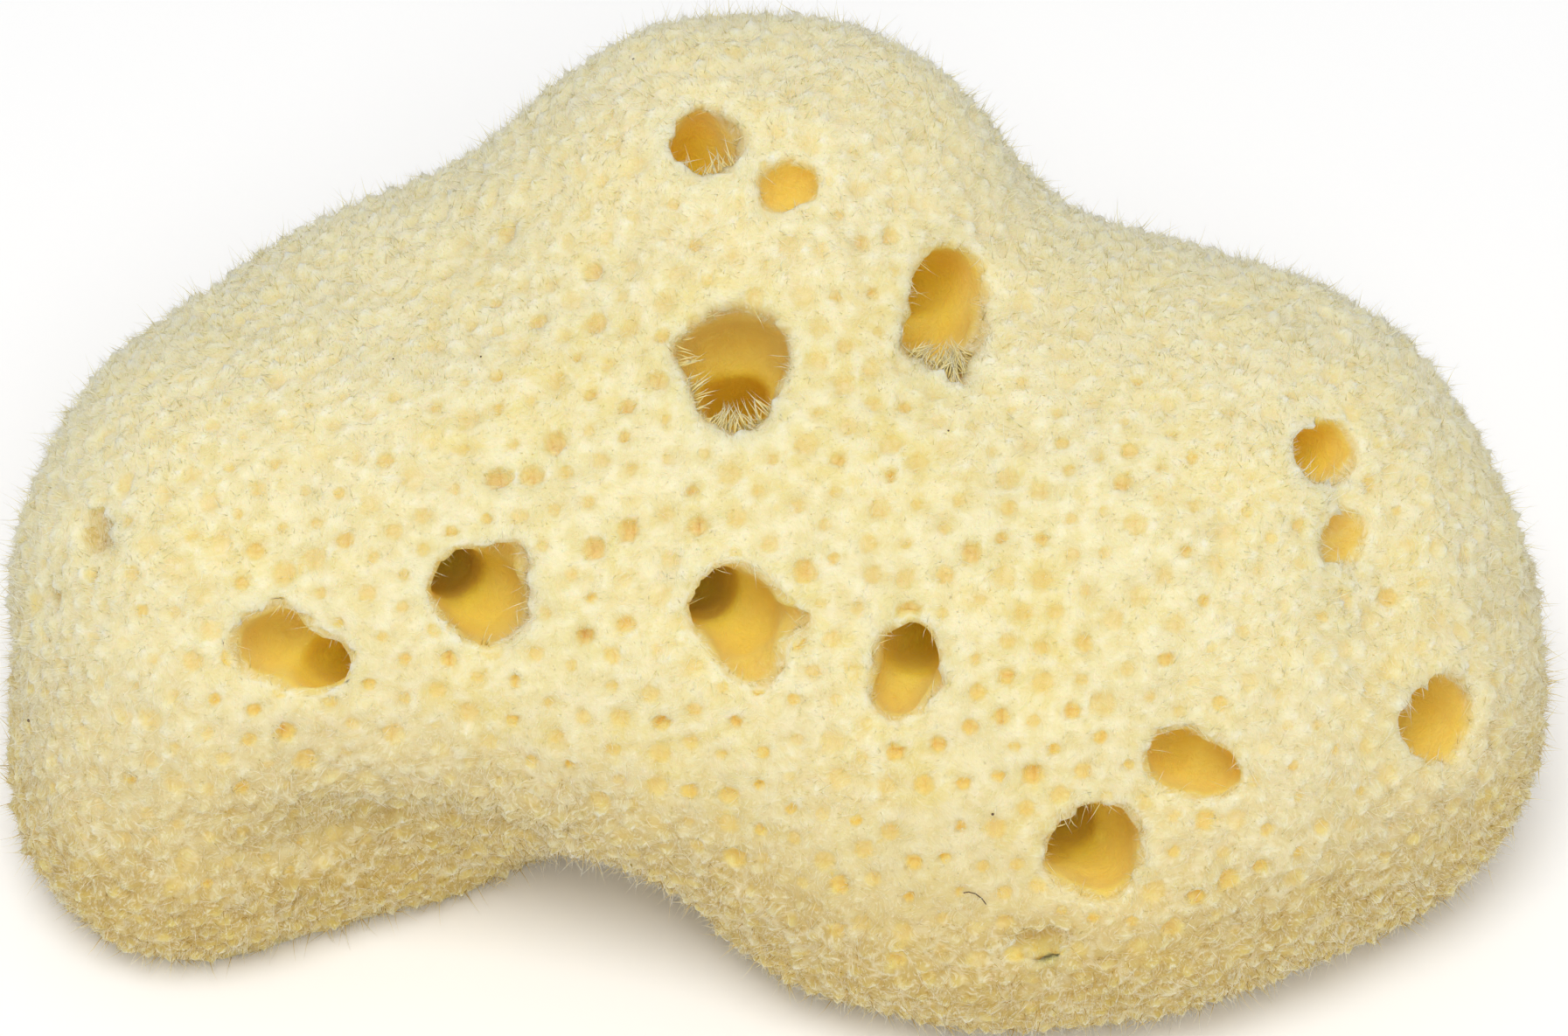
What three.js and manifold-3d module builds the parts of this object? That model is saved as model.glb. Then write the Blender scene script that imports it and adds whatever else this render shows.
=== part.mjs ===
// A natural bath sponge of the fine "silk" grade, in millimetres, +Z up.
// It grew as one piece and is one solid: rounded lobes that flow into each other, blind channels (oscula)
// that open on every side, and a flat base where it was cut from the rock. Its skin is at the fibres' roots.
import * as THREE from "three";
import { mergeVertices } from "three/addons/utils/BufferGeometryUtils.js";
import Module from "manifold-3d";

const name = "sponge";
const skinDetail = 12; // subdivisions of the sphere that is wrapped onto the lobes
const wrapRounds = 70;
const wrapRadius = 62;
const wrapHeight = 22; // how high the middle of the sphere stands
const lobeBlend = 6; // how far two lobes flow into each other
const faceLean = 45; // slope of the broad front face, in degrees from upright
const skirt = 2.5; // how far the wrapped skin reaches under the base before the cut

// Each lobe is an ellipsoid: its centre, its half-sizes and how far it leans back, in degrees.
const lobes = [
  { part: "trunk", centre: [2, 3, 17], half: [31, 24, 20] },
  { part: "crown", centre: [-2, 12, 29], half: [19.5, 18, 18] },
  { part: "left shoulder", centre: [-21, 8, 19], half: [19, 16, 17] },
  { part: "left lobe", centre: [-36, -3, 16], half: [13.5, 18, 17] },
  { part: "left foot", centre: [-38, -12.5, 8], half: [11, 11, 12] },
  { part: "inner foot", centre: [-26, -9, 6], half: [13, 9, 9] },
  { part: "right lobe", centre: [24, -1, 16.5], half: [23, 21, 20.5] },
  { part: "right hip", centre: [37, -8, 11], half: [12, 14, 14] },
  { part: "front foot", centre: [15, -17.5, 7.5], half: [23, 10.5, 10] },
  { part: "face, right", centre: [16, -13.5, 18], half: [24, 19, 12], lean: faceLean },
  { part: "face, middle", centre: [-6, -8.5, 23], half: [22, 17, 12], lean: faceLean },
  { part: "face, left", centre: [-27, -7, 23], half: [17, 14, 11], lean: faceLean },
];
const hollows = [
  { part: "bay between the front feet", centre: [-14, -29, 0], half: [11, 12, 10], blend: 5 },
  { part: "groove under the face's lip", centre: [-25, -21.5, 13.5], half: [11, 3, 1.9], blend: 2 },
  { part: "trough right of the face", centre: [37.5, -13.5, 31], half: [2.6, 9, 2.6], lean: 42, blend: 3 },
];

// Oscula: where each channel opens, the way it runs into the sponge, its radius and its depth. Its mouth is
// "long" times longer than it is wide, along a line turned by "angle" degrees.
const front = [
  { mouth: [-2.9, -4.8, 39.4], into: [0, 0.45, -0.89], radius: 3.4, depth: 7, long: 1.06, angle: 0 },
  { mouth: [-2.9, -7, 38.3], into: [0, 0.62, -0.78], radius: 2.3, depth: 15, long: 1.1, angle: 0 },
  { mouth: [10.7, 1.7, 39.2], into: [-0.45, 0.6, -0.66], radius: 2.3, depth: 8, long: 1.25, angle: 90 },
  { mouth: [10.3, -0.9, 38.1], into: [-0.35, 0.63, -0.7], radius: 2.2, depth: 6.5, long: 1.35, angle: 90 },
  { mouth: [10.9, -4.2, 37.1], into: [-0.2, 0.7, -0.7], radius: 0.8, depth: 3, long: 1.1, angle: 0 },
  { mouth: [-4.6, 7.7, 46.3], into: [-0.26, 0.31, -0.92], radius: 2.1, depth: 8, long: 1.2, angle: 110 },
  { mouth: [0.3, 4.4, 45.5], into: [0.05, 0.5, -0.87], radius: 1.6, depth: 3.5, long: 1.4, angle: 20 },
  { mouth: [-18.2, -16.8, 30], into: [-0.1, 0.75, -0.65], radius: 2.9, depth: 6.5, long: 1.05, angle: 90 },
  { mouth: [-19.2, -16.1, 30.6], into: [-0.2, 0.77, -0.6], radius: 2, depth: 13, long: 1.1, angle: 45 },
  { mouth: [-16.6, -15.1, 31.6], into: [-0.4, 0.8, -0.5], radius: 1.1, depth: 4.5, long: 1.1, angle: 45 },
  { mouth: [-2.5, -19, 30.3], into: [0, 0.75, -0.65], radius: 2.7, depth: 6.5, long: 1.1, angle: 100 },
  { mouth: [-3.3, -18.2, 31], into: [-0.2, 0.77, -0.6], radius: 2, depth: 13, long: 1.15, angle: 90 },
  { mouth: [-1.8, -20.4, 28.7], into: [-0.1, 0.8, -0.6], radius: 1.7, depth: 3.5, long: 1.2, angle: 130 },
  { mouth: [0.7, -19, 30.2], into: [-0.3, 0.8, -0.5], radius: 0.9, depth: 3.5, long: 1.2, angle: 90 },
  { mouth: [7.7, -20.6, 28.2], into: [0.1, 0.85, -0.51], radius: 2, depth: 9, long: 1.2, angle: 75 },
  { mouth: [7.2, -21.7, 26.9], into: [0, 0.8, -0.6], radius: 1.7, depth: 4.5, long: 1.1, angle: 45 },
  { mouth: [-31.2, -18.2, 27.2], into: [0.1, 0.8, -0.6], radius: 2.2, depth: 5.5, long: 1.2, angle: -20 },
  { mouth: [-29.2, -18.7, 26.3], into: [0.3, 0.7, -0.67], radius: 1.8, depth: 8, long: 1.4, angle: -40 },
  { mouth: [19.3, -27.6, 18.6], into: [0, 0.85, -0.5], radius: 3, depth: 6.5, long: 1.05, angle: 80 },
  { mouth: [18.8, -27.6, 18.5], into: [-0.18, 0.86, -0.47], radius: 2.2, depth: 12, long: 1.1, angle: 45 },
  { mouth: [24.8, -25, 23.7], into: [-0.1, 0.8, -0.58], radius: 2.1, depth: 6, long: 1.2, angle: -10 },
  { mouth: [26.2, -24.7, 22.7], into: [0.1, 0.8, -0.58], radius: 1.8, depth: 4.5, long: 1.15, angle: -30 },
  { mouth: [34.3, -7.9, 33.9], into: [-0.52, 0.6, -0.6], radius: 1.9, depth: 6, long: 1.35, angle: 85 },
  { mouth: [35.4, -12.4, 31], into: [-0.45, 0.6, -0.66], radius: 1.7, depth: 3.5, long: 1.4, angle: 100 },
  { mouth: [41.4, -18.6, 20.9], into: [-0.56, 0.64, -0.5], radius: 2.8, depth: 6, long: 1.1, angle: 100 },
  { mouth: [-43, -10.6, 29.8], into: [0.5, 0.5, -0.7], radius: 1.4, depth: 1.8, long: 1.4, angle: 80 },
  { mouth: [-46.2, -12, 25], into: [0.8, 0.4, -0.45], radius: 1.2, depth: 1.6, long: 1.4, angle: 80 },
  { mouth: [15.9, -29.8, 12.5], into: [0, 0.95, -0.3], radius: 1.1, depth: 1.8, long: 1.6, angle: 10 },
];
const back = [
  { mouth: [-5, 26.5, 39], into: [0.1, -0.8, -0.6], radius: 2.8, depth: 11, long: 1.1, angle: 20 },
  { mouth: [-23, 23.5, 23.5], into: [0.1, -0.95, -0.2], radius: 3, depth: 12, long: 1.05, angle: 70 },
  { mouth: [3, 27.5, 16], into: [0.1, -0.98, 0.1], radius: 2.4, depth: 9, long: 1.2, angle: 0 },
  { mouth: [23, 21.5, 21], into: [-0.2, -0.95, -0.1], radius: 2.9, depth: 12, long: 1.1, angle: 110 },
  { mouth: [25.5, 21, 18], into: [-0.3, -0.9, 0.1], radius: 1.4, depth: 5, long: 1.2, angle: 45 },
  { mouth: [10, 26, 31], into: [-0.5, -0.8, -0.2], radius: 1.8, depth: 6, long: 1, angle: 0 },
  { mouth: [-32, 19, 12], into: [0.4, -0.8, 0.3], radius: 2, depth: 7, long: 1.2, angle: 60 },
  { mouth: [47.5, 2, 16], into: [-0.95, -0.25, 0], radius: 2.5, depth: 9, long: 1.1, angle: 30 },
  { mouth: [-49, 0, 14.5], into: [0.98, -0.1, 0.1], radius: 2.3, depth: 8, long: 1.2, angle: 80 },
];
const under = [
  { mouth: [-31, -3, 0], into: [0.2, 0.1, 1], radius: 2.6, depth: 9, long: 1.1, angle: 0 },
  { mouth: [-6, 9, 0], into: [-0.1, 0, 1], radius: 3, depth: 11, long: 1, angle: 0 },
  { mouth: [13, -9, 0], into: [0.15, 0.1, 1], radius: 2.2, depth: 8, long: 1.2, angle: 50 },
  { mouth: [31, 5, 0], into: [-0.2, 0.1, 1], radius: 2.7, depth: 10, long: 1.1, angle: 100 },
];
const channelSides = 12;
const smallChannelSides = 9;
const smallChannel = 1.5; // a channel of less radius has fewer sides
const mouthFlare = 1.12; // the channel is this much wider where it opens
const overshoot = 5; // how far a channel's cutter stands out of the sponge

const wasm = await Module();
wasm.setup();

function solidFrom(geometry) {
  const bare = geometry.clone();
  bare.deleteAttribute("normal");
  bare.deleteAttribute("uv");
  const merged = mergeVertices(bare, 1e-4);
  return new wasm.Manifold(
    new wasm.Mesh({
      numProp: 3,
      vertProperties: merged.attributes.position.array,
      triVerts: new Uint32Array(merged.index.array),
    }),
  );
}

function geometryFrom(solid) {
  const mesh = solid.getMesh();
  const geometry = new THREE.BufferGeometry();
  geometry.setAttribute("position", new THREE.BufferAttribute(mesh.vertProperties, mesh.numProp));
  geometry.setIndex(new THREE.BufferAttribute(mesh.triVerts, 1));
  return geometry;
}

// About how far a point is from an ellipsoid's surface, less than zero inside it.
function toEllipsoid(point, { centre, half, lean = 0 }) {
  const local = point.clone().sub(new THREE.Vector3(...centre));
  local.applyAxisAngle(new THREE.Vector3(1, 0, 0), -THREE.MathUtils.degToRad(lean));
  const size = new THREE.Vector3(...half);
  const reach = local.clone().divide(size);
  const slope = reach.clone().divide(size).length();
  return slope > 0 ? (reach.length() * (reach.length() - 1)) / slope : -Math.min(...half);
}

function blendedLeast(a, b, width) {
  const share = THREE.MathUtils.clamp(0.5 + (0.5 * (b - a)) / width, 0, 1);
  return THREE.MathUtils.lerp(b, a, share) - width * share * (1 - share);
}

function toSkin(point) {
  const distances = lobes.map((lobe) => toEllipsoid(point, lobe));
  const joined = distances.reduce((a, b) => blendedLeast(a, b, lobeBlend));
  const hollowed = hollows.reduce((skin, hollow) => {
    return -blendedLeast(-skin, toEllipsoid(point, hollow), hollow.blend);
  }, joined);
  return -blendedLeast(-hollowed, point.z + skirt, 1);
}

// The way out of the sponge at a point, from how the distance to the skin changes around it.
function wayOut(point) {
  const step = 0.2;
  const change = (x, y, z) => {
    const offset = new THREE.Vector3(x, y, z);
    return toSkin(point.clone().add(offset)) - toSkin(point.clone().sub(offset));
  };
  return new THREE.Vector3(change(step, 0, 0), change(0, step, 0), change(0, 0, step)).normalize();
}

// Which corners each corner of an indexed geometry shares an edge with.
function neighboursOf(geometry) {
  const links = Array.from({ length: geometry.attributes.position.count }, () => new Set());
  const index = geometry.index.array;
  for (let i = 0; i < index.length; i += 3) {
    for (let corner = 0; corner < 3; corner++) {
      const from = index[i + corner];
      const to = index[i + ((corner + 1) % 3)];
      links[from].add(to);
      links[to].add(from);
    }
  }
  return links;
}

// A sphere drawn in onto the lobes: each round evens out its corners and moves them towards the skin.
function wrappedSkin() {
  const sphere = new THREE.IcosahedronGeometry(wrapRadius, skinDetail);
  sphere.deleteAttribute("normal");
  sphere.deleteAttribute("uv");
  sphere.translate(0, 0, wrapHeight);
  const geometry = mergeVertices(sphere, 1e-3);
  const links = neighboursOf(geometry);
  const position = geometry.attributes.position;
  let corners = links.map((_, i) => new THREE.Vector3().fromBufferAttribute(position, i));
  for (let round = 0; round < wrapRounds; round++) {
    const evened = corners.map((corner, i) => {
      const middle = new THREE.Vector3();
      links[i].forEach((other) => middle.add(corners[other]));
      return corner.clone().lerp(middle.divideScalar(links[i].size), 0.5);
    });
    corners = evened.map((corner) => corner.addScaledVector(wayOut(corner), -0.8 * toSkin(corner)));
  }
  corners.forEach((corner, i) => position.setXYZ(i, corner.x, corner.y, corner.z));
  return geometry;
}

// What a channel removes: a round-ended plug with an uneven rim, wider where it leaves the sponge.
function channelPlug({ mouth, into, radius, depth, long, angle }) {
  const sides = radius < smallChannel ? smallChannelSides : channelSides;
  const profile = [
    new THREE.Vector2(0, -depth),
    new THREE.Vector2(0.45 * radius, -0.94 * depth),
    new THREE.Vector2(0.74 * radius, -0.78 * depth),
    new THREE.Vector2(0.9 * radius, -0.5 * depth),
    new THREE.Vector2(0.95 * radius, -0.2 * depth),
    new THREE.Vector2(mouthFlare * radius, 0.3),
    new THREE.Vector2(mouthFlare * radius, overshoot),
    new THREE.Vector2(0, overshoot),
  ];
  const plug = new THREE.LatheGeometry(profile, sides);
  const position = plug.attributes.position;
  for (let i = 0; i < position.count; i++) {
    const around = Math.atan2(position.getZ(i), position.getX(i));
    const wave = 1 + 0.06 * Math.sin(3 * around + mouth[0]) + 0.04 * Math.sin(4 * around + mouth[1]);
    position.setX(i, position.getX(i) * wave * long);
    position.setZ(i, position.getZ(i) * wave);
  }
  plug.rotateY(THREE.MathUtils.degToRad(angle));
  const outwards = new THREE.Vector3(...into).normalize().negate();
  plug.applyQuaternion(new THREE.Quaternion().setFromUnitVectors(new THREE.Vector3(0, 1, 0), outwards));
  return plug.translate(...mouth);
}

function cutBlock() {
  return new THREE.BoxGeometry(2 * wrapRadius, 2 * wrapRadius, 4 * skirt).translate(0, 0, -2 * skirt);
}

function spongeGeometry() {
  const oscula = [...front, ...back, ...under].map((osculum) => solidFrom(channelPlug(osculum)));
  const solid = [solidFrom(cutBlock()), ...oscula].reduce(
    (left, cut) => left.subtract(cut),
    solidFrom(wrappedSkin()),
  );
  const geometry = geometryFrom(solid);
  geometry.computeBoundingBox();
  const middle = geometry.boundingBox.getCenter(new THREE.Vector3());
  return geometry.translate(-middle.x, -middle.y, 0);
}

const spongin = new THREE.MeshStandardMaterial({ color: 0xecdda3, roughness: 0.95, metalness: 0 });
const body = new THREE.Mesh(spongeGeometry(), spongin);
body.name = name;

const part = new THREE.Group();
part.add(body);

export default part;
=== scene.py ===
import math
import bmesh
import bpy
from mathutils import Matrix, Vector
from mathutils.bvhtree import BVHTree


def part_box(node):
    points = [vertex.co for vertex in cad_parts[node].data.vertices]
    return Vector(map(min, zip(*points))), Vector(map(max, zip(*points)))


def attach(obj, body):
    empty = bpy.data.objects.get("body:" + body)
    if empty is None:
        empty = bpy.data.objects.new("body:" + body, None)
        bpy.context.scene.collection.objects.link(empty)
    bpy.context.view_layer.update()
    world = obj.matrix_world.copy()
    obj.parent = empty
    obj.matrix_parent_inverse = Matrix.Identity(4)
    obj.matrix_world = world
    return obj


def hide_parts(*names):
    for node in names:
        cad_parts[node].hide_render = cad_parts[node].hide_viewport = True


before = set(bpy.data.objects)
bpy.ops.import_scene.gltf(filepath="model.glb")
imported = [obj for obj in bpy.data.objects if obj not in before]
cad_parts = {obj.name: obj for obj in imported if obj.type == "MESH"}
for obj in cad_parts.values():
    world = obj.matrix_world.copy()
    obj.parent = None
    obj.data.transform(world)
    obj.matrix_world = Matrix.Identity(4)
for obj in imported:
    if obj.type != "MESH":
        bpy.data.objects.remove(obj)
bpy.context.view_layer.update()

mm = 0.001
low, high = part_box("sponge")
length, depth, height = (high[i] - low[i] for i in range(3))
facing = Vector((0, -math.sin(math.radians(45)), math.cos(math.radians(45))))  # the way the broad face looks


class Wire:  # an output socket that Python's sums work on
    def __init__(self, graph, socket):
        self.graph = graph
        self.socket = socket

    def sum(self, operation, *terms):
        return self.graph.sum(operation, *terms)

    def __add__(self, term):
        return self.sum("ADD", self, term)

    def __radd__(self, term):
        return self.sum("ADD", term, self)

    def __sub__(self, term):
        return self.sum("SUBTRACT", self, term)

    def __rsub__(self, term):
        return self.sum("SUBTRACT", term, self)

    def __mul__(self, term):
        return self.sum("MULTIPLY", self, term)

    def __rmul__(self, term):
        return self.sum("MULTIPLY", term, self)

    def __truediv__(self, term):
        return self.sum("DIVIDE", self, term)

    def __rtruediv__(self, term):
        return self.sum("DIVIDE", term, self)

    def __gt__(self, term):
        return self.graph.node("ShaderNodeMath", {"operation": "GREATER_THAN"}, {0: self, 1: term})

    def __lt__(self, term):
        return self.graph.node("ShaderNodeMath", {"operation": "LESS_THAN"}, {0: self, 1: term})


class Graph:  # a node tree, with short ways to fill it
    def __init__(self, tree):
        self.tree = tree

    def node(self, kind, settings=None, values=None, out=0):
        made = self.tree.nodes.new(kind)
        for name, value in (settings or {}).items():
            setattr(made, name, value)
        for key, value in (values or {}).items():
            socket = self.called(made.inputs, key) if isinstance(key, str) else made.inputs[key]
            if isinstance(value, Wire):
                self.tree.links.new(value.socket, socket)
            else:
                socket.default_value = value
        return Wire(self, self.called(made.outputs, out) if isinstance(out, str) else made.outputs[out])

    def called(self, sockets, name):
        return next(socket for socket in sockets if socket.name == name and socket.enabled)

    def sum(self, operation, *terms):
        vector = any(isVector(term) for term in terms)
        kind = "ShaderNodeVectorMath" if vector else "ShaderNodeMath"
        values = {i: spread(term) if vector else term for i, term in enumerate(terms)}
        return self.node(kind, {"operation": operation}, values)

    def span(self, vector):  # a vector's length
        return self.node("ShaderNodeVectorMath", {"operation": "LENGTH"}, {0: vector}, "Value")

    def dot(self, first, second):
        return self.node("ShaderNodeVectorMath", {"operation": "DOT_PRODUCT"}, {0: first, 1: second}, "Value")

    def unit(self, vector):
        return self.node("ShaderNodeVectorMath", {"operation": "NORMALIZE"}, {0: vector})

    def ramp(self, value, start, end, first=0.0, last=1.0):  # a smooth step from first to last
        values = {"Value": value, "From Min": start, "From Max": end, "To Min": first, "To Max": last}
        return self.node("ShaderNodeMapRange", {"interpolation_type": "SMOOTHSTEP"}, values, "Result")

    def mix(self, factor, first, second, kind="RGBA"):
        values = {"Factor": factor, "A": first, "B": second}
        return self.node("ShaderNodeMix", {"data_type": kind}, values, "Result")

    def noise(self, where, size, detail=2.0, out=0):  # size is about the width of one blotch
        values = {"Vector": where, "Scale": 1 / size, "Detail": detail}
        return self.node("ShaderNodeTexNoise", None, values, out)

    def split(self, vector, axis):
        return self.node("ShaderNodeSeparateXYZ", None, {0: vector}, axis)

    def combine(self, x, y, z):
        return self.node("ShaderNodeCombineXYZ", None, {0: x, 1: y, 2: z})


def isVector(term):
    if isinstance(term, Wire):
        return term.socket.type == "VECTOR"
    return isinstance(term, (tuple, Vector))


def spread(term):
    return (term, term, term) if isinstance(term, (int, float)) else term


class Growth(Graph):  # a Geometry Nodes tree with one geometry in, one out, and named sizes
    def __init__(self, name, sizes):
        super().__init__(bpy.data.node_groups.new(name, "GeometryNodeTree"))
        face = self.tree.interface
        face.new_socket(name="Geometry", in_out="INPUT", socket_type="NodeSocketGeometry")
        face.new_socket(name="Geometry", in_out="OUTPUT", socket_type="NodeSocketGeometry")
        for title, value in sizes.items():
            kind = "NodeSocketInt" if isinstance(value, int) else "NodeSocketFloat"
            face.new_socket(name=title, in_out="INPUT", socket_type=kind)
        self.sizes = sizes
        self.entry = self.tree.nodes.new("NodeGroupInput")
        self.position = self.node("GeometryNodeInputPosition")
        self.normal = self.node("GeometryNodeInputNormal")

    def given(self, title):
        return Wire(self, self.entry.outputs[title])

    def named(self, title, kind="FLOAT"):
        return self.node("GeometryNodeInputNamedAttribute", {"data_type": kind}, {"Name": title}, "Attribute")

    def store(self, geometry, title, value, kind="FLOAT", domain="POINT"):
        settings = {"data_type": kind, "domain": domain}
        values = {0: geometry, "Name": title, "Value": value}
        return self.node("GeometryNodeStoreNamedAttribute", settings, values)

    def move(self, geometry, offset):
        return self.node("GeometryNodeSetPosition", None, {0: geometry, "Offset": offset})

    def blur(self, value, rounds, kind="FLOAT"):
        values = {"Value": value, "Iterations": rounds}
        return self.node("GeometryNodeBlurAttribute", {"data_type": kind}, values, "Value")

    def chance(self, start, end, seed, kind="FLOAT"):
        values = {"Min": start, "Max": end, "Seed": seed}
        return self.node("FunctionNodeRandomValue", {"data_type": kind}, values, "Value")

    def scatter(self, mesh, gap, share, seed):  # points no closer than gap, thinned to share
        values = {"Mesh": mesh, "Distance Min": gap, "Density Factor": share, "Seed": seed}
        values["Density Max"] = 6 / (gap * gap)
        settings = {"distribute_method": "POISSON"}
        return self.node("GeometryNodeDistributePointsOnFaces", settings, values, "Points")

    def sprinkle(self, mesh, density, seed):  # points anywhere, so many to a square metre
        values = {"Mesh": mesh, "Density": density, "Seed": seed}
        settings = {"distribute_method": "RANDOM"}
        return self.node("GeometryNodeDistributePointsOnFaces", settings, values, "Points")

    def nearest(self, points, *fields):  # what the closest point holds: (field, kind) pairs
        index = self.node("GeometryNodeSampleNearest", {"domain": "POINT"}, {0: points})
        found = []
        for field, kind in fields:
            values = {"Geometry": points, "Value": field, "Index": index}
            found.append(self.node("GeometryNodeSampleIndex", {"data_type": kind}, values, "Value"))
        return found

    def above(self, geometry):  # nothing reaches under the base
        z = self.sum("MAXIMUM", self.split(self.position, "Z"), 0.0)
        place = self.combine(self.split(self.position, "X"), self.split(self.position, "Y"), z)
        return self.node("GeometryNodeSetPosition", None, {0: geometry, "Position": place})

    def finish(self, geometry):
        leave = self.tree.nodes.new("NodeGroupOutput")
        self.tree.links.new(geometry.socket, leave.inputs[0])

    def grow(self, base, name):  # the tree's result on base, as a plain object of its own
        modifier = base.modifiers.new(name, "NODES")
        modifier.node_group = self.tree
        for item in self.tree.interface.items_tree:
            if item.in_out == "INPUT" and item.name in self.sizes:
                modifier[item.identifier] = self.sizes[item.name]
        depsgraph = bpy.context.evaluated_depsgraph_get()
        evaluated = base.evaluated_get(depsgraph)
        mesh = bpy.data.meshes.new_from_object(evaluated, preserve_all_data_layers=True, depsgraph=depsgraph)
        base.modifiers.remove(modifier)
        mesh.name = name
        grown = bpy.data.objects.new(name, mesh)
        bpy.context.collection.objects.link(grown)
        return grown


skinSizes = {
    "mesh": 0.515 * mm,  # edge of one face
    "smoothing": 3,
    "inset": 0.15 * mm,  # the skin lies this far inside the CAD solid
    "rays": 32,  # rays that feel how open each place is
    "reach": 16 * mm,  # how far they feel
}


def coarseSkin():  # the CAD solid again, in small even faces
    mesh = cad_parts["sponge"].data.copy()
    shape = bmesh.new()
    shape.from_mesh(mesh)
    bmesh.ops.remove_doubles(shape, verts=shape.verts, dist=0.001 * mm)
    shape.to_mesh(mesh)
    shape.free()
    skin = bpy.data.objects.new("coarseSkin", mesh)
    bpy.context.collection.objects.link(skin)
    remesh = skin.modifiers.new("evenFaces", "REMESH")
    remesh.mode = "VOXEL"
    remesh.voxel_size = skinSizes["mesh"]
    remesh.use_smooth_shade = True
    smooth = skin.modifiers.new("softEdges", "SMOOTH")
    smooth.factor = 0.5
    smooth.iterations = skinSizes["smoothing"]
    depsgraph = bpy.context.evaluated_depsgraph_get()
    even = bpy.data.meshes.new_from_object(skin.evaluated_get(depsgraph))
    bpy.data.objects.remove(skin)
    even.materials.clear()
    even.name = "evenSkin"
    result = bpy.data.objects.new("evenSkin", even)
    bpy.context.collection.objects.link(result)
    return result


def spiral(count):  # directions spread evenly over a sphere
    turn = math.pi * (3 - math.sqrt(5))
    for i in range(count):
        z = 1 - 2 * (i + 0.5) / count
        side = math.sqrt(1 - z * z)
        yield Vector((side * math.cos(turn * i), side * math.sin(turn * i), z))


def opennessTree():
    graph = Growth("openness", {"Reach": skinSizes["reach"], "Inset": skinSizes["inset"]})
    skin = graph.given("Geometry")
    start = graph.position + graph.normal * (0.15 * mm)
    clear = 0
    for direction in spiral(skinSizes["rays"]):
        values = {
            "Target Geometry": skin,
            "Source Position": start,
            "Ray Direction": graph.normal + tuple(0.98 * direction),
            "Ray Length": graph.given("Reach"),
        }
        hit = graph.node("GeometryNodeRaycast", None, values, "Is Hit")
        clear = clear + (1 - hit)
    clear = clear * (1 / skinSizes["rays"])
    skin = graph.store(skin, "open", clear)
    skin = graph.store(skin, "open", graph.blur(graph.named("open"), 2))
    openness = graph.named("open")
    up = graph.split(graph.position, "Z")
    reach = graph.ramp(openness, 0.4, 0.7) * graph.ramp(up, 0.0, 1.5 * mm)
    smooth = graph.blur(graph.normal, 8, "FLOAT_VECTOR")
    skin = graph.store(skin, "outwards", graph.unit(smooth), "FLOAT_VECTOR")
    outwards = graph.named("outwards", "FLOAT_VECTOR")
    # level: how far the skin faces up; it sets the painted shade on the low walls
    skin = graph.store(skin, "level", graph.split(outwards, "Z"))
    skin = graph.move(skin, outwards * (reach * graph.given("Inset") * -1))
    graph.finish(skin)
    return graph


poreSizes = {
    "Gap": 1.95 * mm,  # least distance between two pores
    "Small": 0.36 * mm,  # radius of the smallest
    "Large": 0.82 * mm,
    "Depth": 0.75,  # in radii
    "Basin": 0.16 * mm,  # how far the skin dips around a pore
    "Ragged": 0.34 * mm,  # how far the big channels' rims stray
    "Tuft gap": 1.35 * mm,
    "Tuft": 0.70 * mm,  # height of a tuft on the downy lobes
    "Seed": 11,
}
tuftSeed = 5  # the skin and the down share their tufts


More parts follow.
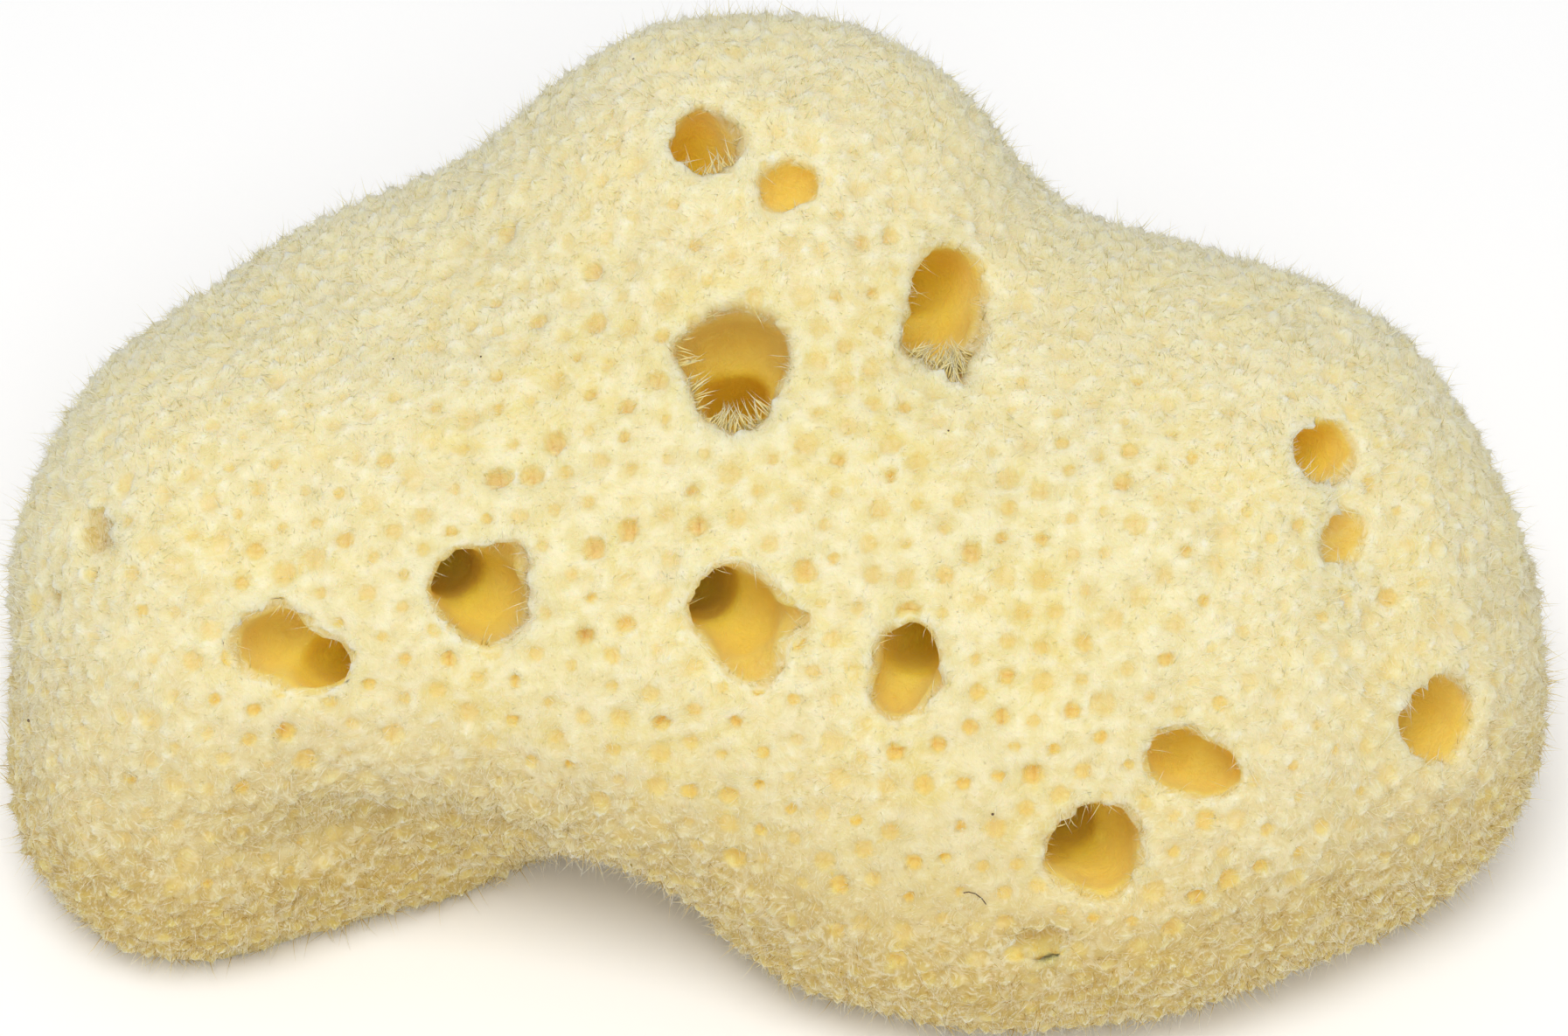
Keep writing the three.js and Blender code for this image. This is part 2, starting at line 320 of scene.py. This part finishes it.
def poreTree():
    graph = Growth("pores", poreSizes)
    skin = graph.given("Geometry")
    openness = graph.named("open")
    up = graph.split(graph.position, "Z")

    faces = graph.ramp(graph.dot(graph.blur(graph.normal, 6, "FLOAT_VECTOR"), tuple(facing)), 0.62, 0.95)
    patches = graph.ramp(graph.noise(graph.position, 26 * mm, 1.0), 0.45, 0.62)
    hidden = graph.ramp(graph.split(graph.normal, "Y"), 0.1, 0.5)
    downy = graph.ramp(graph.noise(graph.position, 15 * mm, 1.0), 0.56, 0.66) * 0.6
    across = graph.split(graph.position, "X")
    sides = graph.ramp(across, 0.14 * length, 0.34 * length)
    sides = sides + graph.ramp(across, -0.26 * length, -0.42 * length)
    crown = graph.ramp(up, 0.78 * height, 0.94 * height) * 0.6
    downy = graph.sum("MAXIMUM", downy, graph.sum("MAXIMUM", sides * 0.75, crown))
    bare = graph.sum("MAXIMUM", faces * (1 - downy), patches * hidden)
    skin = graph.store(skin, "nap", 1 - bare)
    nap = graph.named("nap")

    rim = graph.ramp(openness, 0.25, 0.45) * graph.ramp(openness, 0.85, 0.65)
    rim = rim * graph.ramp(up, 0.5 * mm, 2 * mm)
    coarse = graph.noise(graph.position, 1.7 * mm, 1.0, 1) - (0.5, 0.5, 0.5)
    fine = graph.noise(graph.position, 0.7 * mm, 1.0, 1) - (0.5, 0.5, 0.5)
    stray = (coarse * 2.0 + fine * 0.7) * graph.given("Ragged")
    skin = graph.move(skin, stray * rim)

    share = graph.ramp(openness, 0.25, 0.75, 0.25, 1.0) * graph.ramp(up, 0.2 * mm, 1 * mm, 0.5, 1.0)
    points = graph.scatter(skin, graph.given("Gap"), share, graph.given("Seed"))
    toss = graph.chance(0.0, 1.0, 3)
    size = graph.mix(toss * toss, graph.given("Small"), graph.given("Large"), "FLOAT")
    points = graph.store(points, "poreSize", size)
    points = graph.store(points, "poreDepth", graph.ramp(graph.chance(0.0, 1.0, 4), 0.5, 1.0, 0.6, 2.2))
    place = (graph.position, "FLOAT_VECTOR")
    sizes = (graph.named("poreSize"), "FLOAT"), (graph.named("poreDepth"), "FLOAT")
    centre, radius, own = graph.nearest(points, place, *sizes)
    skin = graph.store(skin, "poreAway", graph.position - centre, "FLOAT_VECTOR")
    skin = graph.store(skin, "poreRadius", radius)
    skin = graph.store(skin, "poreDepth", own * (1 - nap * 0.8))
    away = graph.named("poreAway", "FLOAT_VECTOR")
    radius = graph.named("poreRadius")
    wander = (graph.noise(graph.position, 0.9 * mm, 1.0) - 0.5) * 0.5
    skin = graph.store(skin, "pore", graph.sum("MINIMUM", graph.span(away) / radius + wander, 3.0))
    pore = graph.named("pore")
    snap = graph.ramp(pore, 0.6, 0.8) * graph.ramp(pore, 1.4, 1.15)
    calm = graph.ramp(openness, 0.5, 0.8, 0.1, 1.0)
    skin = graph.store(skin, "shift", away * ((1 - pore) * snap * calm * 0.75), "FLOAT_VECTOR")
    shift = graph.named("shift", "FLOAT_VECTOR")
    skin = graph.store(skin, "poreAway", away + shift, "FLOAT_VECTOR")

    tufts = graph.scatter(skin, graph.given("Tuft gap"), 1.0, tuftSeed)
    tip, = graph.nearest(tufts, (graph.position, "FLOAT_VECTOR"))
    tuftReach = 0.9 * mm
    slope = graph.sum("MAXIMUM", 1 - graph.span(graph.position - tip) * (1 / tuftReach), 0.0)
    cone = slope * slope
    ridge = graph.ramp(pore, 1.0, 2.4)
    # crest: how high a place stands among tufts and pore ridges; it paints a highlight into the colour
    skin = graph.store(skin, "crest", graph.mix(nap, ridge, cone, "FLOAT"))
    crest = graph.named("crest")
    outside = graph.ramp(openness, 0.45, 0.75)
    clear = graph.ramp(up, 0.3 * mm, 1.2 * mm)
    swell = (graph.noise(graph.position, 2.6 * mm, 2.0) - 0.5) * (0.5 * mm)
    swell = swell + (graph.noise(graph.position, 11 * mm, 1.0) - 0.5) * (1.6 * mm) * outside * clear
    swell = swell + cone * graph.mix(nap, 0.12 * mm, graph.given("Tuft"), "FLOAT") * outside * clear
    basin = graph.ramp(pore, 2.1, 0.9) * graph.given("Basin") * (1 - nap * 0.5) * outside
    sink = graph.ramp(pore, 1.1, 0.4) * radius * graph.given("Depth") * graph.named("poreDepth") * calm
    skin = graph.move(skin, shift + graph.normal * (swell - sink - basin))
    skin = graph.node("GeometryNodeSetMaterial", None, {0: graph.above(skin), "Material": skinFinish})
    graph.finish(graph.node("GeometryNodeRealizeInstances", None, {0: skin}))
    return graph


def fibreShape(graph, steps):  # one straight three-sided fibre, a unit long, that bend() bends to one side
    values = {"Vertices": 3, "Side Segments": steps, "Radius Top": 0.0, "Radius Bottom": 1.0, "Depth": 1.0}
    fibre = graph.node("GeometryNodeMeshCone", {"fill_type": "NGON"}, values, "Mesh")
    along = graph.split(graph.position, "Z")
    fibre = graph.store(fibre, "along", along)
    return fibre


def bend(graph, fibre, amount):
    along = graph.named("along")
    return graph.move(fibre, graph.combine(along * along * amount, 0.0, 0.0))


def plant(graph, points, direction, reach, width, fibre):
    turns = graph.combine(0.0, 0.0, graph.chance(0.0, 6.28, 7))
    spin = graph.node("FunctionNodeEulerToRotation", None, {0: turns})
    values = {"Rotation": spin, "Vector": direction}
    turned = graph.node("FunctionNodeAlignRotationToVector", {"axis": "Z"}, values)
    size = graph.combine(width, width, reach)
    values = {"Points": points, "Instance": fibre, "Rotation": turned, "Scale": size}
    planted = graph.node("GeometryNodeInstanceOnPoints", None, values)
    planted = graph.store(planted, "tint", graph.chance(0.0, 1.0, 17), "FLOAT", "INSTANCE")
    for title in ("crest", "open", "nap", "level"):
        planted = graph.store(planted, title, graph.named(title), "FLOAT", "INSTANCE")
    planted = graph.above(graph.node("GeometryNodeRealizeInstances", None, {0: planted}))
    planted = graph.node("GeometryNodeSetMaterial", None, {0: planted, "Material": fibreFinish})
    planted = graph.node("GeometryNodeSetShadeSmooth", {"domain": "FACE"}, {0: planted})
    graph.finish(planted)


downSizes = {
    "Density": 4.2e6,  # fibres to a square metre
    "Short": 0.30 * mm,  # on the bare faces
    "Long": 0.65 * mm,  # on the napped lobes
    "Width": 0.018 * mm,  # half of a fibre's thickness at its root
    "Upright": 0.6,  # how far it stands rather than lies
    "Gather": 0.60,  # how far fibres lean to their tuft
    "Seed": 21,
}


def downTree(name, steps, curl, sizes):
    graph = Growth(name, sizes)
    skin = graph.given("Geometry")
    tufts = graph.scatter(skin, poreSizes["Tuft gap"], 1.0, tuftSeed)
    openness = graph.named("open")
    keep = graph.ramp(graph.named("pore"), 0.85, 1.05) * graph.ramp(openness, 0.50, 0.64)
    clear = graph.ramp(graph.split(graph.position, "Z"), 0.15 * mm, 0.9 * mm)
    points = graph.sprinkle(skin, graph.given("Density") * keep * clear, graph.given("Seed"))
    outwards = graph.named("outwards", "FLOAT_VECTOR")
    nap = graph.named("nap")
    heart, = graph.nearest(tufts, (graph.position, "FLOAT_VECTOR"))
    reach = graph.mix(nap, graph.given("Short"), graph.given("Long"), "FLOAT") * graph.chance(0.5, 1.3, 9)
    loose = graph.chance((-1, -1, -1), (1, 1, 1), 13, "FLOAT_VECTOR")
    flow = graph.noise(graph.position, 5 * mm, 2.0, 1) - (0.5, 0.5, 0.5)
    free = graph.unit(outwards * graph.given("Upright") + loose * 0.45 + flow * 2.6)
    peak = graph.unit(heart + outwards * (reach * 1.15) - graph.position)
    direction = graph.mix(graph.given("Gather") * nap, free, peak, "VECTOR")
    inwards = graph.sum("MAXIMUM", 0.1 - graph.dot(direction, outwards), 0.0)
    direction = direction + outwards * inwards
    drop = graph.split(direction, "Z") * reach + graph.split(graph.position, "Z")
    lift = graph.sum("MAXIMUM", 0.05 * mm - drop, 0.0) / reach
    direction = direction + graph.combine(0.0, 0.0, lift)
    width = graph.given("Width") * graph.chance(0.7, 1.3, 15)
    plant(graph, points, direction, reach, width, bend(graph, fibreShape(graph, steps), curl))
    return graph


fringeSizes = {
    "Density": 34e6,
    "Length": 1.7 * mm,
    "Width": 0.075 * mm,
    "Inwards": 1.0,
    "Clump": 0.6 * mm,
    "Seed": 31,
}


def fringeTree():
    graph = Growth("fringe", fringeSizes)
    skin = graph.given("Geometry")
    openness = graph.named("open")
    rim = (openness > 0.50) * (openness < 0.72) * (graph.split(graph.position, "Z") > 2 * mm)
    band = graph.node("GeometryNodeSeparateGeometry", {"domain": "POINT"}, {0: skin, "Selection": rim})
    island = graph.node("GeometryNodeInputMeshIsland")
    values = {"Value": graph.position, "Group ID": island}
    total = graph.node("GeometryNodeAccumulateField", {"data_type": "FLOAT_VECTOR"}, values, "Total")
    values = {"Value": 1.0, "Group ID": island}
    count = graph.node("GeometryNodeAccumulateField", {"data_type": "FLOAT"}, values, "Total")
    band = graph.store(band, "mouth", total / count, "FLOAT_VECTOR")
    band = graph.store(band, "ring", count)
    mouth = graph.named("mouth", "FLOAT_VECTOR")
    outwards = graph.named("outwards", "FLOAT_VECTOR")
    inwards = mouth - graph.position
    whole = (graph.named("ring") > 40) * (graph.span(inwards) < 6 * mm) * (graph.span(inwards) > 1.3 * mm)
    crown = graph.ramp(graph.split(mouth, "Z"), 0.68 * height, 0.72 * height)
    side = graph.ramp(graph.split(mouth, "X"), 0.21 * length, 0.24 * length)
    rear = graph.ramp(graph.split(mouth, "Y"), 0.1 * depth, 0.2 * depth)
    share = graph.sum("MAXIMUM", graph.sum("MAXIMUM", crown, side), rear) * 0.93 + 0.07
    share = share * graph.ramp(graph.dot(graph.unit(inwards), (0.5, 0.6, 0.62)), -0.35, 0.3)
    patches = graph.ramp(graph.noise(graph.position, 2.2 * mm, 1.0), 0.36, 0.50)
    hearts = graph.scatter(band, graph.given("Clump"), 1.0, 6)
    points = graph.sprinkle(band, graph.given("Density") * whole * share * patches, graph.given("Seed"))
    heart, = graph.nearest(hearts, (graph.position, "FLOAT_VECTOR"))
    loose = graph.chance((-1, -1, -1), (1, 1, 1), 13, "FLOAT_VECTOR")
    lean = graph.unit(mouth - graph.position)
    swirl = graph.noise(heart, 1.3 * mm, 1.0, 1) - (0.5, 0.5, 0.5)
    reach = graph.given("Length") * graph.chance(0.45, 1.3, 9)
    aim = graph.unit(outwards + lean * graph.given("Inwards") + swirl * 2.4 + loose * 0.2)
    direction = graph.unit(heart + aim * reach - graph.position)
    width = graph.given("Width") * graph.chance(0.7, 1.4, 15)
    plant(graph, points, direction, reach, width, bend(graph, fibreShape(graph, 3), 5.0))
    return graph


tones = {
    "cream": (0.82, 0.73, 0.40),
    "pale": (0.90, 0.83, 0.57),
    # painted highlight on the fibre tips
    "tip": (0.97, 0.92, 0.73),
    "warmTip": (1.0, 0.91, 0.56),  # of the hairs at the channels' rims: painted warm light on tips in the hollows' shade
    "honey": (0.83, 0.71, 0.31),  # in broad blotches
    # painted shade in the pores
    "poreAmber": (0.90, 0.70, 0.19),
    # painted shade and glow of light through the walls, inside the channels
    "amber": (0.88, 0.66, 0.13),
    # painted glow, deepest in the channels
    "deepGlow": (1.0, 0.70, 0.05),
    "low": (0.66, 0.50, 0.19),  # painted shade near the base
    "hollowShade": (0.76, 0.58, 0.17),  # painted shade where the skin turns inwards
    "under": (0.60, 0.41, 0.09),  # painted shade on the low walls that face down
}


def colour(name):
    return (*tones[name], 1)


def triangles(piece):
    return sum(len(face.vertices) - 2 for face in piece.data.polygons)


def finishOf(name, scatter, spread, reach, sheen):
    material = bpy.data.materials.new(name)
    material.use_nodes = True
    graph = Graph(material.node_tree)
    shader = graph.tree.nodes["Principled BSDF"]
    shader.inputs["Specular IOR Level"].default_value = 0.2
    shader.inputs["Subsurface Weight"].default_value = scatter
    shader.inputs["Subsurface Radius"].default_value = spread
    shader.inputs["Subsurface Scale"].default_value = reach
    shader.inputs["Sheen Weight"].default_value = sheen
    shader.inputs["Sheen Roughness"].default_value = 0.6
    shader.inputs["Sheen Tint"].default_value = (1.0, 0.98, 0.9, 1)
    return material, graph, shader


def attribute(graph, name, out="Fac"):
    return graph.node("ShaderNodeAttribute", {"attribute_name": name}, None, out)


def bodyTone(graph, where):  # the sponge's colour with painted shade near the base, on low walls and in hollows and a painted highlight on crests, the same on skin and fibres
    nap, crest, openness, level = (attribute(graph, name) for name in ("nap", "crest", "open", "level"))
    cloud = graph.noise(where, 7 * mm, 3.0)
    patch = graph.noise(where, 1.3 * mm, 2.0)
    base = graph.mix(graph.ramp(cloud, 0.36, 0.66), colour("cream"), colour("honey"))
    # pale blotches, a little paler on tuft crests and pore ridges as a painted highlight
    base = graph.mix(graph.ramp(patch + (crest - 0.5) * 0.14, 0.36, 0.72) * 0.75, base, colour("pale"))
    base = graph.mix(nap * 0.4, base, colour("pale"))
    # painted shade: darker and browner towards the base
    low = graph.ramp(graph.split(where, "Z"), 0.66 * height, 0.05 * height)
    base = graph.mix(low * 0.85, base, colour("low"))
    # painted shade: darker still where the low walls face down
    base = graph.mix(low * graph.ramp(level, 0.45, 0.0) * 0.8, base, colour("under"))
    # painted shade where the skin turns into the channels
    return graph.mix(graph.ramp(openness, 0.86, 0.58) * 0.8, base, colour("hollowShade"))


def skinMaterial():
    material, graph, shader = finishOf("spongeSkin", 0.9, (1.0, 0.82, 0.58), 3.5 * mm, 0.1)
    where = graph.node("ShaderNodeTexCoord", None, None, "Object")
    openness = attribute(graph, "open")
    nap = attribute(graph, "nap")
    felt = graph.noise(where, 0.22 * mm, 4.0)
    warp = (graph.noise(where, 3.5 * mm, 2.0, 1) - (0.5, 0.5, 0.5)) * (9 * mm)
    streaks = graph.noise((where + warp) * (1.0, 1.0, 0.4), 0.3 * mm, 3.0)
    base = bodyTone(graph, where)
    base = graph.mix(graph.ramp(streaks, 0.48, 0.70) * (nap * 0.4 + 0.35), base, colour("pale"))
    values = {"Vector": where + warp * 0.25, "Scale": 1 / (1.5 * mm)}
    edge = graph.node("ShaderNodeTexVoronoi", {"feature": "DISTANCE_TO_EDGE"}, values, "Distance")
    patchy = graph.ramp(graph.noise(where, 3 * mm, 2.0), 0.42, 0.62)
    web = graph.ramp(edge + (streaks - 0.5) * 0.4, 0.16, 0.0) * (nap * 0.4 + 0.1) * patchy
    base = graph.mix(web, base, colour("pale"))
    away = graph.span(attribute(graph, "poreAway", "Vector")) / attribute(graph, "poreRadius")
    pore = graph.sum("MAXIMUM", away, attribute(graph, "pore") * 0.85) + (felt - 0.5) * 0.35
    depth = attribute(graph, "poreDepth")
    # painted shade: the pores turn amber, more so lower down
    poreShadeLow = graph.ramp(graph.split(where, "Z"), 0.85 * height, 0.40 * height, 0.42, 0.92)
    soft = graph.ramp(pore, 1.25, 0.65) * graph.ramp(depth, 0.0, 1.2, 0.25, 1.0) * poreShadeLow
    base = graph.mix(soft, base, colour("poreAmber"))
    # painted shade and glow of light through the walls: amber in the channels, the deep glow far inside
    base = graph.mix(graph.ramp(openness, 0.60, 0.38), base, colour("amber"))
    base = graph.mix(graph.ramp(openness, 0.30, 0.08), base, colour("deepGlow"))
    graph.tree.links.new(base.socket, shader.inputs["Base Color"])
    shader.inputs["Roughness"].default_value = 0.95
    rise = graph.ramp(pore, 0.6, 1.1) * graph.ramp(depth, 0.0, 1.0, 0.3, 1.0)
    relief = rise + felt * 0.6 + streaks
    bump = graph.node("ShaderNodeBump", None, {"Strength": 0.8, "Distance": 0.2 * mm, "Height": relief})
    graph.tree.links.new(bump.socket, shader.inputs["Normal"])
    return material


def fibreMaterial():
    material, graph, shader = finishOf("spongeFibre", 1.0, (1.0, 1.0, 1.0), 0.06 * mm, 0.0)
    where = graph.node("ShaderNodeTexCoord", None, None, "Object")
    along = attribute(graph, "along")
    tint = attribute(graph, "tint")
    # painted highlight on the tips, turned warm in the hollows as painted warm light
    warm = graph.ramp(attribute(graph, "open"), 0.85, 0.55)
    tip = graph.mix(warm, colour("tip"), colour("warmTip"))
    base = graph.mix(graph.ramp(along, 0.0, 0.8) * (tint * 0.8 + 0.2), bodyTone(graph, where), tip)
    graph.tree.links.new(base.socket, shader.inputs["Base Color"])
    shader.inputs["Roughness"].default_value = 0.9
    return material


def gritMaterial():
    material = bpy.data.materials.new("grit")
    material.use_nodes = True
    shader = material.node_tree.nodes["Principled BSDF"]
    shader.inputs["Base Color"].default_value = (0.10, 0.06, 0.04, 1)
    shader.inputs["Roughness"].default_value = 0.8
    return material


gritPlaces = {
    "specks": [  # of dirt on the broad face: how far across and up it, in lengths, and the radius
        (-0.187, 0.103, 0.09 * mm),
        (-0.243, 0.102, 0.07 * mm),
        (0.106, 0.056, 0.08 * mm),
        (-0.093, 0.296, 0.08 * mm),
        (0.133, -0.182, 0.10 * mm),
        (-0.480, -0.128, 0.12 * mm),
    ],
    "strand": [(0.116, -0.232), (0.119, -0.231), (0.123, -0.232), (0.127, -0.235), (0.130, -0.239)],
    "strandWidth": 0.035 * mm,  # half of the stray hair's thickness
}


def makeGrit(skin):
    tree = BVHTree.FromPolygons([v.co for v in skin.data.vertices], [f.vertices for f in skin.data.polygons])
    rise = Vector((0, facing.z, -facing.y))
    middle = Vector((0, 0, 0.427 * height))

    def onSkin(across, up):
        start = middle + Vector((across * length, 0, 0)) + rise * (up * length) + facing * length
        place, normal, _, _ = tree.ray_cast(start, -facing)
        return place, normal

    shape = bmesh.new()
    for across, up, radius in gritPlaces["specks"]:
        place, normal = onSkin(across, up)
        ball = bmesh.ops.create_icosphere(shape, subdivisions=1, radius=radius)
        bmesh.ops.translate(shape, verts=ball["verts"], vec=place + normal * (0.25 * radius))
    lift = 0.12 * mm  # of the stray hair over the skin
    found = [onSkin(*point) for point in gritPlaces["strand"]]
    path = [place + normal * lift for place, normal in found]
    rings = []
    for i, place in enumerate(path):
        forwards = (path[min(i + 1, len(path) - 1)] - path[max(i - 1, 0)]).normalized()
        side = forwards.cross(facing).normalized()
        corners = [side, forwards.cross(side), -side, -forwards.cross(side)]
        rings.append([shape.verts.new(place + corner * gritPlaces["strandWidth"]) for corner in corners])
    for first, second in zip(rings, rings[1:]):
        for i in range(4):
            shape.faces.new((first[i], first[(i + 1) % 4], second[(i + 1) % 4], second[i]))
    shape.faces.new(rings[0])
    shape.faces.new(rings[-1])
    bmesh.ops.recalc_face_normals(shape, faces=shape.faces)
    mesh = bpy.data.meshes.new("grit")
    shape.to_mesh(mesh)
    shape.free()
    grit = bpy.data.objects.new("grit", mesh)
    bpy.context.collection.objects.link(grit)
    mesh.materials.append(gritMaterial())
    return grit


skinFinish = skinMaterial()
fibreFinish = fibreMaterial()
print("finishes made")

evenSkin = coarseSkin()
print("even skin:", len(evenSkin.data.vertices), "corners")
openSkin = opennessTree().grow(evenSkin, "openSkin")
print("openness felt")
skin = poreTree().grow(openSkin, "spongeSkin")
print("pores made:", triangles(skin), "triangles")
down = downTree("shortDown", 1, 0.0, downSizes).grow(skin, "shortDown")
print("short down:", triangles(down), "triangles")
closeSizes = {**downSizes, "Short": 0.25 * mm, "Long": 0.5 * mm, "Upright": 0.25, "Seed": 24}
close = downTree("closeDown", 1, 0.0, closeSizes).grow(skin, "closeDown")
print("close down:", triangles(close), "triangles")
longSizes = {**downSizes, "Density": 1.6e6, "Short": 0.4 * mm, "Long": 0.85 * mm, "Upright": 0.4,
             "Gather": 0.5, "Seed": 22}
nap = downTree("longDown", 2, 4.0, longSizes).grow(skin, "longDown")
print("long down:", triangles(nap), "triangles")
curlSizes = {**downSizes, "Density": 1.6e6, "Short": 0.5 * mm, "Long": 1.6 * mm, "Width": 0.036 * mm,
             "Upright": 0.15, "Gather": 0.2, "Seed": 23}
curls = downTree("curls", 2, 6.0, curlSizes).grow(skin, "curls")
print("curls:", triangles(curls), "triangles")
fringe = fringeTree().grow(openSkin, "rimFringe")
print("fringe:", triangles(fringe), "triangles")
grit = makeGrit(skin)
print("grit:", triangles(grit), "triangles")
for helper in (evenSkin, openSkin):
    bpy.data.objects.remove(helper)

for piece in (skin, down, close, nap, curls, fringe, grit):
    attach(piece, "root")
    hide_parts("sponge")


def makeFloor():
    mesh = bpy.data.meshes.new("floor")
    reach = 8 * length
    corners = [(-reach, -reach, 0), (reach, -reach, 0), (reach, reach, 0), (-reach, reach, 0)]
    mesh.from_pydata(corners, [], [(0, 1, 2, 3)])
    floor = bpy.data.objects.new("floor", mesh)
    bpy.context.collection.objects.link(floor)
    material = bpy.data.materials.new("paleFloor")
    material.use_nodes = True
    shader = material.node_tree.nodes["Principled BSDF"]
    shader.inputs["Base Color"].default_value = (0.99, 0.99, 0.99, 1)
    shader.inputs["Roughness"].default_value = 0.9
    floor.data.materials.append(material)
    floor.location.z = -0.02 * mm


lamps = {  # angles in degrees, sizes in metres, power in watts
    "key": {"azimuth": -10, "elevation": 70, "away": 1.3, "size": 0.7, "power": 8.8},
    "fill": {"azimuth": 6, "elevation": 44, "away": 1.0, "size": 0.4, "power": 2.1},
}


def makeLamp(name, azimuth, elevation, away, size, power):
    lamp = bpy.data.lights.new(name, "AREA")
    lamp.shape = "DISK"
    lamp.size = size
    lamp.energy = power
    holder = bpy.data.objects.new(name, lamp)
    bpy.context.collection.objects.link(holder)
    turn, rise = math.radians(azimuth), math.radians(elevation)
    back = Vector((math.sin(turn) * math.cos(rise), -math.cos(turn) * math.cos(rise), math.sin(rise)))
    holder.location = Vector((0, 0, height / 2)) + back * away
    holder.rotation_euler = (-back).to_track_quat("-Z", "Y").to_euler()


def makeWorld():
    world = bpy.data.worlds.new("studio")
    world.use_nodes = True
    world.node_tree.nodes["Background"].inputs["Color"].default_value = (1, 1, 1, 1)
    world.node_tree.nodes["Background"].inputs["Strength"].default_value = 0.46
    bpy.context.scene.world = world


def makeCamera():
    aim = Vector((0.0035 * length, 0.004 * depth, 0.427 * height))
    away = 400 * mm
    camera = bpy.data.cameras.new("camera")
    camera.sensor_width = 36
    camera.lens = camera.sensor_width * away / (100.95 * mm)  # what the picture spans at the sponge
    holder = bpy.data.objects.new("camera", camera)
    bpy.context.collection.objects.link(holder)
    holder.location = aim + facing * away
    holder.rotation_euler = (-facing).to_track_quat("-Z", "Y").to_euler()
    camera.clip_start = 0.01
    camera.clip_end = 10
    bpy.context.scene.camera = holder


makeFloor()
makeWorld()
for name, values in lamps.items():
    makeLamp(name, **values)
makeCamera()
bpy.context.scene.view_settings.view_transform = "Standard"
print("stage set")
